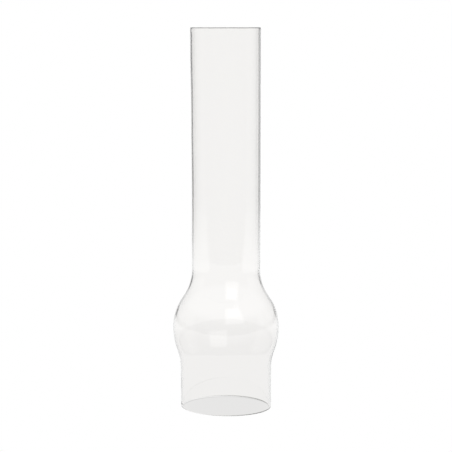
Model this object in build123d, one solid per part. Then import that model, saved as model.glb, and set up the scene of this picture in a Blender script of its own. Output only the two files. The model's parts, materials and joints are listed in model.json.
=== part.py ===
from build123d import *
import math
import os

# A blown glass chimney for a flat-wick lamp. Millimetres and degrees.
# +Z runs up the chimney's axis. The origin is the centre of the base rim.

# Outer face
height = 220.0
base_radius = 26.25       # straight collar that stands in the burner's gallery
bulge_radius = 30.65      # widest level, round the flame
bulge_height = 47.2
neck_radius = 19.68       # narrowest level, where the flue starts
flue_taper = 0.2          # the flue opens a little towards the top
flare_angle = 17.5        # from the axis, collar to bulge
slope_angle = 31.9        # from the axis, bulge to neck

# Bend radii of the outer face, from the collar up
foot_bend = 29.9
belly_bend = 36.0         # under the widest level
shoulder_bend = 29.7      # over the widest level
neck_bend = 30.0

# Wall
base_wall = 1.0
bulge_wall = 1.0
flue_wall = 1.2
rim_round = 0.4           # fire-polished edges of both rims


def wall_face(depth, base_r, bulge_r, neck_r):
    """One face of the wall as a chain of tangent lines and arcs, from the base rim to the top rim.

    depth is how far the face lies inside the outer one. It tightens the convex bends and widens
    the hollow ones.
    """
    flare = math.radians(flare_angle)
    slope = math.radians(slope_angle)
    taper = math.radians(flue_taper)
    foot_r = foot_bend + depth
    belly_r = belly_bend - depth
    shoulder_r = shoulder_bend - depth
    neck_bend_r = neck_bend + depth

    # What the bends leave of each step in radius is taken up by a straight run between them.
    belly_step = belly_r * (1 - math.cos(flare))
    foot_step = foot_r * (1 - math.cos(flare))
    flare_run = (bulge_r - base_r - belly_step - foot_step) / math.sin(flare)
    shoulder_step = shoulder_r * (1 - math.cos(slope))
    neck_step = neck_bend_r * (1 - math.cos(slope))
    slope_run = (bulge_r - neck_r - shoulder_step - neck_step) / math.sin(slope)
    collar_top = bulge_height - (belly_r + foot_r) * math.sin(flare) - flare_run * math.cos(flare)

    collar = Line((base_r, 0), (base_r, collar_top))
    foot = JernArc(collar @ 1, collar % 1, foot_r, -flare_angle)
    rise = PolarLine(foot @ 1, flare_run, direction=foot % 1)
    belly = JernArc(rise @ 1, rise % 1, belly_r, flare_angle)
    shoulder = JernArc(belly @ 1, belly % 1, shoulder_r, slope_angle)
    fall = PolarLine(shoulder @ 1, slope_run, direction=shoulder % 1)
    neck = JernArc(fall @ 1, fall % 1, neck_bend_r, -slope_angle - flue_taper)
    flue_length = (height - (neck @ 1).Y) / math.cos(taper)
    flue = PolarLine(neck @ 1, flue_length, direction=neck % 1)
    return [collar, foot, rise, belly, shoulder, fall, neck, flue]


outer = wall_face(0, base_radius, bulge_radius, neck_radius)
inner = wall_face(
    bulge_wall,
    base_radius - base_wall,
    bulge_radius - bulge_wall,
    neck_radius - flue_wall,
)
base_rim = Line(inner[0] @ 0, outer[0] @ 0)
top_rim = Line(outer[-1] @ 1, inner[-1] @ 1)

section = Plane.XZ * make_face([base_rim, *outer, top_rim, *inner])
glass_chimney = revolve(section, Axis.Z)
rim_edges = glass_chimney.edges().group_by(Axis.Z)[0] + glass_chimney.edges().group_by(Axis.Z)[-1]
rim_circles = rim_edges.filter_by(GeomType.CIRCLE)
glass_chimney = fillet(rim_circles, rim_round)
glass_chimney.label = "glass_chimney"

os.makedirs("parts", exist_ok=True)
export_step(glass_chimney, "parts/glass_chimney.step")

print("collar top z", round((outer[0] @ 1).Y, 3), "inner", round((inner[0] @ 1).Y, 3))
print("neck ends z", round((outer[-2] @ 1).Y, 3))
print("top radius", round((outer[-1] @ 1).X, 3), "inner", round((inner[-1] @ 1).X, 3))
print("volume mm3", round(glass_chimney.volume, 1))
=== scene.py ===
import json
import math
import bpy
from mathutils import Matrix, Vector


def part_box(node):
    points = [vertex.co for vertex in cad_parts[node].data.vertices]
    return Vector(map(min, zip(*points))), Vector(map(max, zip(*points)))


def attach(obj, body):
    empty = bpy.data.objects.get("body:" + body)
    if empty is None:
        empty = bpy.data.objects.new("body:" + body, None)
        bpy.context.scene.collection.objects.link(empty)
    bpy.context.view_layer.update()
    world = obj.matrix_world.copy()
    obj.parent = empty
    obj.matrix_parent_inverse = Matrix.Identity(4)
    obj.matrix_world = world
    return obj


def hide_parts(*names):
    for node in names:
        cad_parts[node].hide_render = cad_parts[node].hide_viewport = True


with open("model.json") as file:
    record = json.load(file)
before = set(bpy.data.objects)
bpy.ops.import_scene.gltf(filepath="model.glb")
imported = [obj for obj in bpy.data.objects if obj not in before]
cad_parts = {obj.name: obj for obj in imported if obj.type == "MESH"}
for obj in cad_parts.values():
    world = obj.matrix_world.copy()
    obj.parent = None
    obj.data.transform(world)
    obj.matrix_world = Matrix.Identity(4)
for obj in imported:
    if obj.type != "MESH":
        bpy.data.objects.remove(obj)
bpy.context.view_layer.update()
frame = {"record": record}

# Driving dimensions of the chimney, in metres. The collar's radius, the height and the bulge's radius
# come from the frame.
MM = 0.001
COLLAR = next(m for m in frame["record"]["mounts"] if m["name"] == "base_collar")
BASE_RADIUS = COLLAR["dims"]["r_mm"] * MM
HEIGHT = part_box("glass_chimney")[1].z
BULGE_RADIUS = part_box("glass_chimney")[1].x
BULGE_HEIGHT = 47.2 * MM
NECK_RADIUS = 19.68 * MM
FLUE_TAPER = math.radians(0.2)
FLARE_ANGLE = math.radians(17.5)
SLOPE_ANGLE = math.radians(31.9)
FOOT_BEND = 29.9 * MM
BELLY_BEND = 36.0 * MM
SHOULDER_BEND = 29.7 * MM
NECK_BEND = 30.0 * MM
BASE_WALL = 1.0 * MM
BULGE_WALL = 1.0 * MM
FLUE_WALL = 1.2 * MM
RIM_ROUND = 0.5 * MM
RIM_STEPS = 12            # flats across each rounded rim
RIM_SQUARENESS = 0.75     # 1 is a half ellipse; less is squarer
RIM_CUT = 1.3             # the faces stop this many rim roundings short of the ends

# What blowing by hand leaves of a true turned shape
BOW = 0.15 * MM           # the flue's middle stands a little to +X
LEAN = -0.25 * MM         # the top stands a little to -X
BORE_SHIFT = -0.1 * MM    # the inside sits a little to -X, so the wall is thicker on the +X side
SHOULDER_FULL = 0.12 * MM  # the +X shoulder is a little fuller
FRONT_FULL = 0.35 * MM    # and the shoulder on the -Y side a little more
BASE_SLOPE = 0.34 * MM    # the base rim is a little higher on the -X side
# Where each of them is, as the height of its middle and how far it reaches up and down, in mm
BOW_AT = (125, 42)
LEAN_AT = (160, 60)       # from the first height it grows over the second
SHOULDER_AT = (62, 16)
FRONT_AT = (66, 16)
SLOPE_REACH = 20 * MM     # the base rim's slope fades out by this height

# The glass's surface. Scales are in features per metre, depths in metres.
GLASS_TINT = (1.0, 0.995, 0.988, 1)
# Painted shade: a dark grey base colour on the top and base rims, so they come out as dark lines
RIM_PAINTED_SHADE = (0.25, 0.25, 0.24, 1)
LOW_RIM_SHADE_HEIGHTS = (0.3 * MM, 0.9 * MM)            # the painted rim shade fades out between these heights
HIGH_RIM_SHADE_HEIGHTS = (HEIGHT - 0.7 * MM, HEIGHT - 0.3 * MM)
GLASS_IOR = 1.5
DRAW_SCALE = 160
DRAW_STRETCH = 0.05
DRAW_DEPTH = 0.00004
DRAW_FROM = (0.06, 0.20)  # the draw lines grow in between these heights
RING_SPACING = 1.6 * MM
RINGS_LOW = 77 * MM
RINGS_HIGH = 83 * MM
RINGS_SOFT = 2 * MM
RING_DEPTH = 0.000003
UNEVEN_SCALE = 60
UNEVEN_DEPTH = 0.00005
SEED_SCALE = 60
SEED_SIZE = 0.05
SEED_CORE = 0.015         # full depth inside this distance
SEED_DEPTH = 0.00003
ROUGHEST = 0.02

SEGMENTS = 256
STEP = 1.6 * MM           # spacing of the outline's points along straight runs and wide bends


# ---------------------------------------------------------------- outline

def arc_points(start, heading, radius, turn, steps):
    """Points after start on an arc. heading is measured from +Z towards +R; turn is positive towards +R."""
    side = 1 if turn > 0 else -1
    centre = (
        start[0] + side * radius * math.cos(heading),
        start[1] - side * radius * math.sin(heading),
    )
    points = []
    for i in range(1, steps + 1):
        h = heading + turn * i / steps
        points.append((centre[0] - side * radius * math.cos(h), centre[1] + side * radius * math.sin(h)))
    return points, heading + turn


def run_points(start, heading, length):
    """Points after start on a straight run."""
    steps = max(1, round(length / STEP))
    return [
        (
            start[0] + length * i / steps * math.sin(heading),
            start[1] + length * i / steps * math.cos(heading),
        )
        for i in range(1, steps + 1)
    ]


def wall_face(depth, base_r, bulge_r, neck_r):
    """One face of the wall, from the base rim to the top rim, as (radius, height) points."""
    foot_r = FOOT_BEND + depth
    belly_r = BELLY_BEND - depth
    shoulder_r = SHOULDER_BEND - depth
    neck_bend_r = NECK_BEND + depth
    belly_step = belly_r * (1 - math.cos(FLARE_ANGLE))
    foot_step = foot_r * (1 - math.cos(FLARE_ANGLE))
    flare_run = (bulge_r - base_r - belly_step - foot_step) / math.sin(FLARE_ANGLE)
    shoulder_step = shoulder_r * (1 - math.cos(SLOPE_ANGLE))
    neck_step = neck_bend_r * (1 - math.cos(SLOPE_ANGLE))
    slope_run = (bulge_r - neck_r - shoulder_step - neck_step) / math.sin(SLOPE_ANGLE)
    collar_top = BULGE_HEIGHT - (belly_r + foot_r) * math.sin(FLARE_ANGLE)
    collar_top -= flare_run * math.cos(FLARE_ANGLE)

    points = [(base_r, 0.0)]
    heading = 0.0
    points += run_points(points[-1], heading, collar_top)
    bends = (
        (foot_r, FLARE_ANGLE, flare_run),
        (belly_r, -FLARE_ANGLE, 0),
        (shoulder_r, -SLOPE_ANGLE, slope_run),
        (neck_bend_r, SLOPE_ANGLE + FLUE_TAPER, 0),
    )
    for radius, turn, run in bends:
        steps = max(4, round(radius * abs(turn) / (STEP / 2)))
        more, heading = arc_points(points[-1], heading, radius, turn, steps)
        points += more
        if run:
            points += run_points(points[-1], heading, run)
    points += run_points(points[-1], heading, (HEIGHT - points[-1][1]) / math.cos(heading))
    return points


def cut_face(points, low, high):
    """The points between two heights."""
    return [p for p in points if low < p[1] < high]


def rim_points(inner_r, outer_r, z, up):
    """A fire-polished rim between the two faces, from the inner one to the outer one."""
    mid = (inner_r + outer_r) / 2
    half = (outer_r - inner_r) / 2
    points = []
    for i in range(RIM_STEPS + 1):
        a = math.pi * (1 - i / RIM_STEPS)
        r = mid + half * math.copysign(abs(math.cos(a)) ** RIM_SQUARENESS, math.cos(a))
        drop = RIM_ROUND * (1 - abs(math.sin(a)) ** RIM_SQUARENESS)
        points.append((r, z - drop if up else z + drop))
    return points


def chimney_outline():
    """The wall's section as one closed loop of (radius, height, on the inner face) points.

    It runs up the outside, over the top rim, down the inside and round the base rim.
    """
    outer = wall_face(0, BASE_RADIUS, BULGE_RADIUS, NECK_RADIUS)
    inner = wall_face(
        BULGE_WALL,
        BASE_RADIUS - BASE_WALL,
        BULGE_RADIUS - BULGE_WALL,
        NECK_RADIUS - FLUE_WALL,
    )
    low = RIM_ROUND * RIM_CUT
    high = HEIGHT - RIM_ROUND * RIM_CUT
    top = rim_points(inner[-1][0], outer[-1][0], HEIGHT, True)[::-1]
    base = rim_points(inner[0][0], outer[0][0], 0.0, False)
    outside = [(r, z, False) for r, z in cut_face(outer, low, high)]
    inside = [(r, z, True) for r, z in cut_face(inner, low, high)[::-1]]
    return outside + [(r, z, False) for r, z in top] + inside + [(r, z, False) for r, z in base]


def bump(t):
    """A smooth hump, 1 at t = 0 and 0 from t = 1 on."""
    return 0.5 + 0.5 * math.cos(math.pi * min(1.0, abs(t)))


def hand_made(x, y, z, inner):
    """Moves a point of the true turned shape to where hand blowing leaves it."""
    side = x / math.hypot(x, y)
    shift = BOW * bump((z / MM - BOW_AT[0]) / BOW_AT[1])
    shift += LEAN * (1 - bump(max(0.0, z / MM - LEAN_AT[0]) / LEAN_AT[1]))
    if inner:
        shift += BORE_SHIFT
    facing = -y / math.hypot(x, y)
    full = SHOULDER_FULL * bump((z / MM - SHOULDER_AT[0]) / SHOULDER_AT[1]) * max(0.0, side) ** 2
    full += FRONT_FULL * bump((z / MM - FRONT_AT[0]) / FRONT_AT[1]) * max(0.0, facing) ** 2
    z += BASE_SLOPE * (1 - x / BASE_RADIUS) * max(0.0, 1 - z / SLOPE_REACH)
    return x + shift + full * side, y - full * facing, z


def lathe(name, outline):
    """A closed mesh turned about Z, with the marks of hand blowing."""
    count = len(outline)
    verts = []
    for s in range(SEGMENTS):
        a = 2 * math.pi * s / SEGMENTS
        verts += [hand_made(r * math.cos(a), r * math.sin(a), z, inner) for r, z, inner in outline]
    faces = []
    for s in range(SEGMENTS):
        t = (s + 1) % SEGMENTS
        for i in range(count):
            j = (i + 1) % count
            faces.append((s * count + i, t * count + i, t * count + j, s * count + j))
    mesh = bpy.data.meshes.new(name)
    mesh.from_pydata(verts, [], faces)
    mesh.polygons.foreach_set("use_smooth", [True] * len(mesh.polygons))
    mesh.update()
    piece = bpy.data.objects.new(name, mesh)
    bpy.context.scene.collection.objects.link(piece)
    return piece


# ---------------------------------------------------------------- node trees

class Graph:
    """Short forms for building a node tree."""

    def __init__(self, owner):
        owner.use_nodes = True
        self.nodes = owner.node_tree.nodes
        self.links = owner.node_tree.links
        self.nodes.clear()

    def set(self, socket, value):
        if isinstance(value, bpy.types.NodeSocket):
            self.links.new(value, socket)
        else:
            socket.default_value = value

    def math(self, operation, a, b=0.0):
        node = self.nodes.new("ShaderNodeMath")
        node.operation = operation
        self.set(node.inputs[0], a)
        self.set(node.inputs[1], b)
        return node.outputs[0]

    def blend(self, factor, a, b):
        """a where factor is 0, b where it is 1."""
        node = self.nodes.new("ShaderNodeMix")
        self.set(node.inputs["Factor"], factor)
        self.set(node.inputs["A"], a)
        self.set(node.inputs["B"], b)
        return node.outputs["Result"]

    def step(self, value, low, high):
        """0 below low, 1 above high, smooth between them."""
        node = self.nodes.new("ShaderNodeMapRange")
        node.interpolation_type = "SMOOTHSTEP"
        self.set(node.inputs["Value"], value)
        self.set(node.inputs["From Min"], low)
        self.set(node.inputs["From Max"], high)
        return node.outputs["Result"]

    def window(self, value, low, high, soft):
        """1 between low and high, 0 outside them, with soft edges of that width."""
        rise = self.step(value, low - soft / 2, low + soft / 2)
        fall = self.step(value, high - soft / 2, high + soft / 2)
        return self.math("MULTIPLY", rise, self.math("SUBTRACT", 1.0, fall))

    def split(self, vector):
        node = self.nodes.new("ShaderNodeSeparateXYZ")
        self.links.new(vector, node.inputs[0])
        return node.outputs

    def noise(self, vector, scale, detail):
        node = self.nodes.new("ShaderNodeTexNoise")
        node.inputs["Scale"].default_value = scale
        node.inputs["Detail"].default_value = detail
        self.links.new(vector, node.inputs["Vector"])
        return node.outputs[0]

    def degrees(self, angle):
        return self.math("MULTIPLY", angle, 180 / math.pi)


# ---------------------------------------------------------------- glass

def glass_material():
    """Clear glass with the faint marks of drawing and blowing, and painted shade that makes the rims look
    darker.
    """
    mat = bpy.data.materials.new("clear_blown_glass")
    g = Graph(mat)
    coords = g.nodes.new("ShaderNodeTexCoord")
    spot = coords.outputs["Object"]
    x, y, z = g.split(spot)

    # Long draw lines up the flue, fading out over the bulge
    draw = g.nodes.new("ShaderNodeMapping")
    draw.inputs["Scale"].default_value = (1, 1, DRAW_STRETCH)
    g.links.new(spot, draw.inputs["Vector"])
    draw_lines = g.noise(draw.outputs[0], DRAW_SCALE, 2.0)
    draw_lines = g.math("MULTIPLY", draw_lines, g.step(z, *DRAW_FROM))

    # Faint rings where the neck was closed in, and a slow unevenness everywhere
    rings = g.math("SINE", g.math("MULTIPLY", z, 2 * math.pi / RING_SPACING))
    rings = g.math("MULTIPLY", rings, g.window(z, RINGS_LOW, RINGS_HIGH, RINGS_SOFT))
    uneven = g.noise(spot, UNEVEN_SCALE, 1.0)

    # Seeds: small bubbles here and there in the wall
    cells = g.nodes.new("ShaderNodeTexVoronoi")
    cells.inputs["Scale"].default_value = SEED_SCALE
    g.links.new(spot, cells.inputs["Vector"])
    seeds = g.math("SUBTRACT", 1.0, g.step(cells.outputs["Distance"], SEED_CORE, SEED_SIZE))

    height = g.math("MULTIPLY", draw_lines, DRAW_DEPTH)
    height = g.math("ADD", height, g.math("MULTIPLY", rings, RING_DEPTH))
    height = g.math("ADD", height, g.math("MULTIPLY", uneven, UNEVEN_DEPTH))
    height = g.math("ADD", height, g.math("MULTIPLY", seeds, SEED_DEPTH))
    relief = g.nodes.new("ShaderNodeBump")
    relief.inputs["Distance"].default_value = 1.0
    g.links.new(height, relief.inputs["Height"])

    # Painted shade along the rims: the base colour turns dark grey there, so the rims come out as dark
    # lines, standing in for the light that runs a long way through the wall and comes out darker and greyer
    low_rim_shade = g.math("SUBTRACT", 1.0, g.step(z, *LOW_RIM_SHADE_HEIGHTS))
    high_rim_shade = g.step(z, *HIGH_RIM_SHADE_HEIGHTS)
    rim = g.math("MAXIMUM", low_rim_shade, high_rim_shade)
    # The glass's own tint, with the painted rim shade mixed in at the rims
    glass_tint_and_rim_shade = g.nodes.new("ShaderNodeMix")
    glass_tint_and_rim_shade.data_type = "RGBA"
    glass_tint_and_rim_shade.inputs["A"].default_value = GLASS_TINT
    glass_tint_and_rim_shade.inputs["B"].default_value = RIM_PAINTED_SHADE
    g.links.new(rim, glass_tint_and_rim_shade.inputs["Factor"])

    shader = g.nodes.new("ShaderNodeBsdfPrincipled")
    shader.inputs["Transmission Weight"].default_value = 1.0
    shader.inputs["IOR"].default_value = GLASS_IOR
    g.links.new(glass_tint_and_rim_shade.outputs["Result"], shader.inputs["Base Color"])
    g.links.new(g.math("MULTIPLY", uneven, ROUGHEST), shader.inputs["Roughness"])
    g.links.new(relief.outputs[0], shader.inputs["Normal"])
    out = g.nodes.new("ShaderNodeOutputMaterial")
    g.links.new(shader.outputs[0], out.inputs["Surface"])
    return mat


# ---------------------------------------------------------------- studio
# Azimuths are in degrees from +Y towards +X, seen from the chimney; elevations are above the floor.
# What the glass reflects: a pale backdrop behind a white table, grey walls at the sides with one
# narrow dark card each, a dimmer room in front and one softbox high on the right.
# The camera itself sees the floor and the background as plain white from every side, so rays that
# only pass through the glass meet a near white too. The table shades a little close to the chimney.

BACKDROP_LEVEL = 0.97
BACKDROP_END = (10, 20)   # degrees to each side
WALL_LEVEL = 0.6
ROOM_LEVEL = 0.5
ROOM_START = (95, 110)    # degrees to each side
UPPER_LEVEL = 0.75        # above the cards
CEILING_LEVEL = 0.9
CEILING_START = (15, 30)  # degrees up
CARD_LEVEL = 0.05
CARDS = ((-30, -24), (29, 32))
CARD_SOFT = 4
CARD_TOP = (1, 3)         # degrees up

TABLE_LEVEL = 0.97
NEAR_LEVEL = 0.88         # the table close to the chimney
NEAR_END = (0.15, 0.35)   # metres from the chimney's axis
AROUND_START = (0.35, 1.2)
TABLE_FRONT = (0.300, 0.304)
INSIDE_LEVEL = 0.79       # the table inside the chimney, in its own shade
CONTACT_LEVEL = 0.6       # and along the base rim
CONTACT_WIDTH = 1.0 * MM
CONTACT_SOFT = 0.4 * MM
FLOOR_RADIUS = 2.0
FLOOR_SIDES = 128
FLOOR_DROP = 0.2 * MM     # keeps the floor clear of the base rim

# The softbox and its brighter middle, as a range of azimuths and one of elevations
SOFTBOX = ((138, 182), (14, 50))
SOFTBOX_SOFT = (8, 6)
SOFTBOX_LEVEL = 0.7
CORE = ((146, 174), (30, 46))
CORE_SOFT = (6, 6)
CORE_LEVEL = 0.9

CAMERA_LENS = 128.5
CAMERA_DISTANCE = 0.9241
CAMERA_TILT = 7.02        # degrees below level


def around_the_table(g, azimuth):
    """The level of what stands round the table at each azimuth: backdrop, walls, cards and room."""
    side = g.math("ABSOLUTE", azimuth)
    level = g.blend(g.step(side, *BACKDROP_END), BACKDROP_LEVEL, WALL_LEVEL)
    level = g.blend(g.step(side, *ROOM_START), level, ROOM_LEVEL)
    for start, end in CARDS:
        level = g.blend(g.window(azimuth, start, end, CARD_SOFT), level, CARD_LEVEL)
    return level


def level_for_ray(g, through, reflected):
    """White for the camera's own rays, and one level each for rays through the glass and off it."""
    path = g.nodes.new("ShaderNodeLightPath")
    is_reflected = g.math("GREATER_THAN", path.outputs["Glossy Depth"], 0.5)
    level = g.blend(is_reflected, through, reflected)
    return g.blend(path.outputs["Is Camera Ray"], level, 1.0)


def shaded(g, level, under, contact):
    """The table's own shade inside the chimney and where the rim touches it."""
    level = g.blend(under, level, INSIDE_LEVEL)
    return g.blend(contact, level, CONTACT_LEVEL)


def stage_floor():
    ring = [2 * math.pi * i / FLOOR_SIDES for i in range(FLOOR_SIDES)]
    mesh = bpy.data.meshes.new("floor")
    mesh.from_pydata(
        [(FLOOR_RADIUS * math.cos(a), FLOOR_RADIUS * math.sin(a), -FLOOR_DROP) for a in ring],
        [],
        [tuple(range(FLOOR_SIDES))],
    )
    floor = bpy.data.objects.new("floor", mesh)
    bpy.context.scene.collection.objects.link(floor)
    mat = bpy.data.materials.new("white_table")
    g = Graph(mat)
    where = g.nodes.new("ShaderNodeNewGeometry")
    x, y, z = g.split(where.outputs["Position"])
    reach = g.math("SQRT", g.math("ADD", g.math("MULTIPLY", x, x), g.math("MULTIPLY", y, y)))
    azimuth = g.degrees(g.math("ARCTAN2", x, y))
    under = g.math("LESS_THAN", reach, BASE_RADIUS)
    contact = g.window(reach, BASE_RADIUS - CONTACT_WIDTH, BASE_RADIUS, CONTACT_SOFT)

    table = g.blend(g.step(reach, *NEAR_END), NEAR_LEVEL, TABLE_LEVEL)
    room = g.blend(g.step(reach, *AROUND_START), table, around_the_table(g, azimuth))
    off_table = g.step(g.math("MULTIPLY", y, -1.0), *TABLE_FRONT)
    room = g.blend(off_table, room, ROOM_LEVEL)
    level = level_for_ray(g, *(shaded(g, light, under, contact) for light in (table, room)))

    glow = g.nodes.new("ShaderNodeEmission")
    g.set(glow.inputs["Strength"], level)
    out = g.nodes.new("ShaderNodeOutputMaterial")
    g.links.new(glow.outputs[0], out.inputs["Surface"])
    mesh.materials.append(mat)


def studio_world():
    world = bpy.data.worlds.new("studio")
    bpy.context.scene.world = world
    g = Graph(world)
    direction = g.nodes.new("ShaderNodeTexCoord")
    x, y, z = g.split(direction.outputs["Generated"])
    elevation = g.degrees(g.math("ARCSINE", z))
    azimuth = g.degrees(g.math("ARCTAN2", x, y))
    turn = g.math("FLOORED_MODULO", azimuth, 360.0)

    level = g.blend(g.step(elevation, *CARD_TOP), around_the_table(g, azimuth), UPPER_LEVEL)
    level = g.blend(g.step(g.math("ABSOLUTE", azimuth), *ROOM_START), level, ROOM_LEVEL)
    level = g.blend(g.step(elevation, *CEILING_START), level, CEILING_LEVEL)
    for (turns, rises), soft, strength in (
        (SOFTBOX, SOFTBOX_SOFT, SOFTBOX_LEVEL),
        (CORE, CORE_SOFT, CORE_LEVEL),
    ):
        box = g.math("MULTIPLY", g.window(turn, *turns, soft[0]), g.window(elevation, *rises, soft[1]))
        level = g.math("ADD", level, g.math("MULTIPLY", box, strength))

    back = g.nodes.new("ShaderNodeBackground")
    back.inputs["Color"].default_value = (1, 1, 1, 1)
    g.set(back.inputs["Strength"], level_for_ray(g, BACKDROP_LEVEL, level))
    out = g.nodes.new("ShaderNodeOutputWorld")
    g.links.new(back.outputs[0], out.inputs["Surface"])


def camera():
    data = bpy.data.cameras.new("camera")
    data.lens = CAMERA_LENS
    data.sensor_width = 36.0
    cam = bpy.data.objects.new("camera", data)
    bpy.context.scene.collection.objects.link(cam)
    cam.location = (0, -CAMERA_DISTANCE, HEIGHT)
    cam.rotation_euler = (math.radians(90 - CAMERA_TILT), 0, 0)
    bpy.context.scene.camera = cam


chimney = lathe("glass_chimney_blown", chimney_outline())
chimney.data.materials.append(glass_material())
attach(chimney, "root")
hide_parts("glass_chimney")

stage_floor()
studio_world()
camera()
bpy.context.scene.view_settings.view_transform = "Standard"
